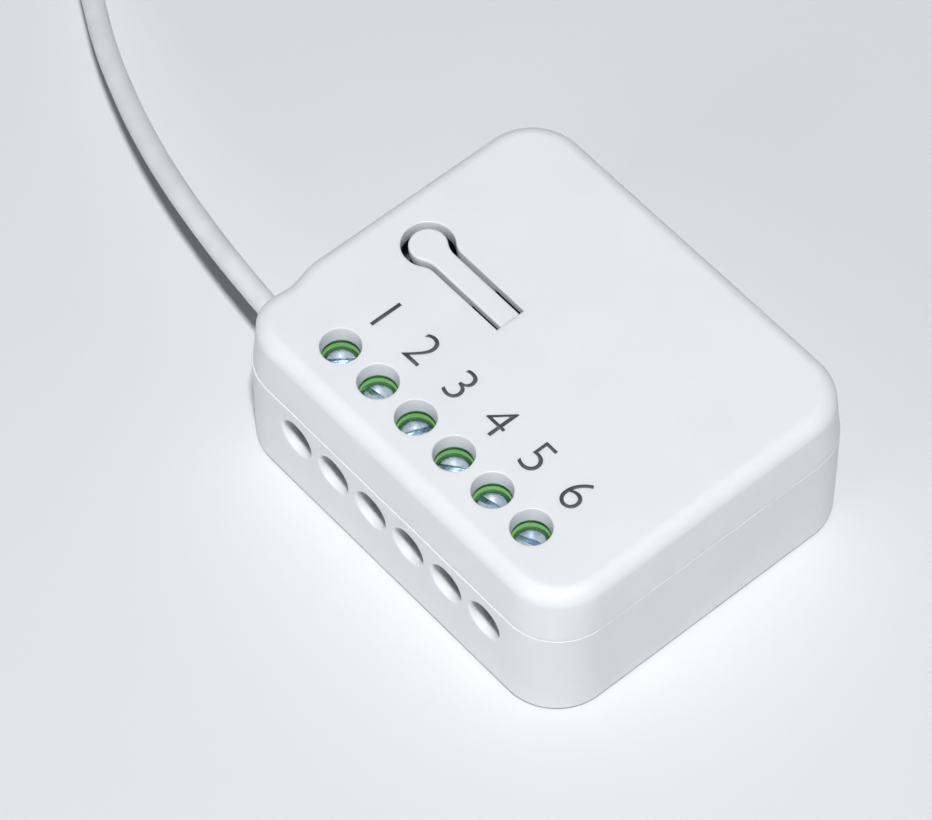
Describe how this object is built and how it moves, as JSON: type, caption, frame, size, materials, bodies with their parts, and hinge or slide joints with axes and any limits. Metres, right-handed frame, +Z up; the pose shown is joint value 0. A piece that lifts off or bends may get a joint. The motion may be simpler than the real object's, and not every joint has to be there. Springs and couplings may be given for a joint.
{
  "type": "smart relay module",
  "caption": "Flat rounded-box in-wall radio relay module with a row of screw terminals, a keyhole-shaped push tongue and a wire aerial.",
  "frame": {"origin": "middle of the case's floor, on the surface that it stands on", "axes": "+X along the terminal row from screw 1 to screw 6, +Y from the terminal side to the back, +Z up"},
  "size_m": [0.1143, 0.0409, 0.017],
  "materials": {
    "case_white": "moulded, satin",
    "board_green": "solder mask",
    "terminal_green": "moulded",
    "tinned_brass": "tinned",
    "zinc_steel": "zinc plated",
    "black_plastic": "moulded",
    "relay_shell": "moulded",
    "copper_wire": "enamelled winding",
    "soft_iron": "bare",
    "ferrite": "sintered",
    "tape_yellow": "taped winding",
    "capacitor_sleeve": "shrink sleeve",
    "varistor_blue": "dipped",
    "resistor_green": "coated",
    "aerial_white": "shrink sleeve"
  },
  "bodies": {
    "module": {"case_base": "case_white", "case_cover": "case_white", "circuit_board": "board_green", "terminal_block_left": "terminal_green", "terminal_block_right": "terminal_green", "terminal_contacts": "tinned_brass", "tact_housing": "black_plastic", "tact_frame": "zinc_steel", "tact_legs": "tinned_brass", "relay_base": "black_plastic", "relay_cover": "relay_shell", "relay_coil": "copper_wire", "relay_core": "soft_iron", "relay_fixed_contact": "tinned_brass", "relay_pins": "tinned_brass", "radio_board": "board_green", "radio_shield": "zinc_steel", "radio_pins": "tinned_brass", "transformer_core": "ferrite", "transformer_coil": "tape_yellow", "transformer_pins": "tinned_brass", "bulk_capacitor": "capacitor_sleeve", "output_capacitor": "capacitor_sleeve", "varistor": "varistor_blue", "fusible_resistor": "resistor_green", "rectifier": "black_plastic", "aerial_lead": "aerial_white", "aerial_sleeve": "aerial_white"},
    "push_tongue": {"push_tongue": "case_white"},
    "tact_plunger": {"tact_plunger": "black_plastic"},
    "terminal_screw_1": {"terminal_screw_1": "zinc_steel"},
    "terminal_screw_2": {"terminal_screw_2": "zinc_steel"},
    "terminal_screw_3": {"terminal_screw_3": "zinc_steel"},
    "terminal_screw_4": {"terminal_screw_4": "zinc_steel"},
    "terminal_screw_5": {"terminal_screw_5": "zinc_steel"},
    "terminal_screw_6": {"terminal_screw_6": "zinc_steel"},
    "wire_cage_1": {"wire_cage_1": "zinc_steel"},
    "wire_cage_2": {"wire_cage_2": "zinc_steel"},
    "wire_cage_3": {"wire_cage_3": "zinc_steel"},
    "wire_cage_4": {"wire_cage_4": "zinc_steel"},
    "wire_cage_5": {"wire_cage_5": "zinc_steel"},
    "wire_cage_6": {"wire_cage_6": "zinc_steel"},
    "relay_armature": {"relay_armature": "soft_iron", "relay_contact_leaf": "tinned_brass"}
  },
  "joints": [
    {"name": "tongue_press", "type": "hinge", "parent": "module", "child": "push_tongue", "pos_m": [-0.00455, 0, 0.0158], "axis": [0, -1, 0], "range_deg": [0, 1.5], "stiffness_Nm_per_rad": 0.6},
    {"name": "plunger_press", "type": "slide", "parent": "module", "child": "tact_plunger", "axis": [0, 0, -1], "range_m": [0, 0.0003]},
    {"name": "screw_1_turn", "type": "hinge", "parent": "module", "child": "terminal_screw_1", "pos_m": [-0.0123, -0.01305, 0.0142], "axis": [0, 0, -1], "range_deg": [0, 1440]},
    {"name": "cage_1_rise", "type": "slide", "parent": "module", "child": "wire_cage_1", "axis": [0, 0, 1], "range_m": [0, 0.002]},
    {"name": "screw_2_turn", "type": "hinge", "parent": "module", "child": "terminal_screw_2", "pos_m": [-0.00722, -0.01305, 0.0142], "axis": [0, 0, -1], "range_deg": [0, 1440]},
    {"name": "cage_2_rise", "type": "slide", "parent": "module", "child": "wire_cage_2", "axis": [0, 0, 1], "range_m": [0, 0.002]},
    {"name": "screw_3_turn", "type": "hinge", "parent": "module", "child": "terminal_screw_3", "pos_m": [-0.00214, -0.01305, 0.0142], "axis": [0, 0, -1], "range_deg": [0, 1440]},
    {"name": "cage_3_rise", "type": "slide", "parent": "module", "child": "wire_cage_3", "axis": [0, 0, 1], "range_m": [0, 0.002]},
    {"name": "screw_4_turn", "type": "hinge", "parent": "module", "child": "terminal_screw_4", "pos_m": [0.00294, -0.01305, 0.0142], "axis": [0, 0, -1], "range_deg": [0, 1440]},
    {"name": "cage_4_rise", "type": "slide", "parent": "module", "child": "wire_cage_4", "axis": [0, 0, 1], "range_m": [0, 0.002]},
    {"name": "screw_5_turn", "type": "hinge", "parent": "module", "child": "terminal_screw_5", "pos_m": [0.00802, -0.01305, 0.0142], "axis": [0, 0, -1], "range_deg": [0, 1440]},
    {"name": "cage_5_rise", "type": "slide", "parent": "module", "child": "wire_cage_5", "axis": [0, 0, 1], "range_m": [0, 0.002]},
    {"name": "screw_6_turn", "type": "hinge", "parent": "module", "child": "terminal_screw_6", "pos_m": [0.0131, -0.01305, 0.0142], "axis": [0, 0, -1], "range_deg": [0, 1440]},
    {"name": "cage_6_rise", "type": "slide", "parent": "module", "child": "wire_cage_6", "axis": [0, 0, 1], "range_m": [0, 0.002]},
    {"name": "armature_pull", "type": "hinge", "parent": "module", "child": "relay_armature", "pos_m": [0.01245, 0.0076, 0.0135], "axis": [0, 1, 0], "range_deg": [0, 6], "stiffness_Nm_per_rad": 0.02}
  ],
  "couplings": [
    {"joint": "plunger_press", "follows": "tongue_press", "m_per_rad": 0.01115},
    {"joint": "screw_1_turn", "follows": "cage_1_rise", "rad_per_m": 12566},
    {"joint": "screw_2_turn", "follows": "cage_2_rise", "rad_per_m": 12566},
    {"joint": "screw_3_turn", "follows": "cage_3_rise", "rad_per_m": 12566},
    {"joint": "screw_4_turn", "follows": "cage_4_rise", "rad_per_m": 12566},
    {"joint": "screw_5_turn", "follows": "cage_5_rise", "rad_per_m": 12566},
    {"joint": "screw_6_turn", "follows": "cage_6_rise", "rad_per_m": 12566}
  ]
}
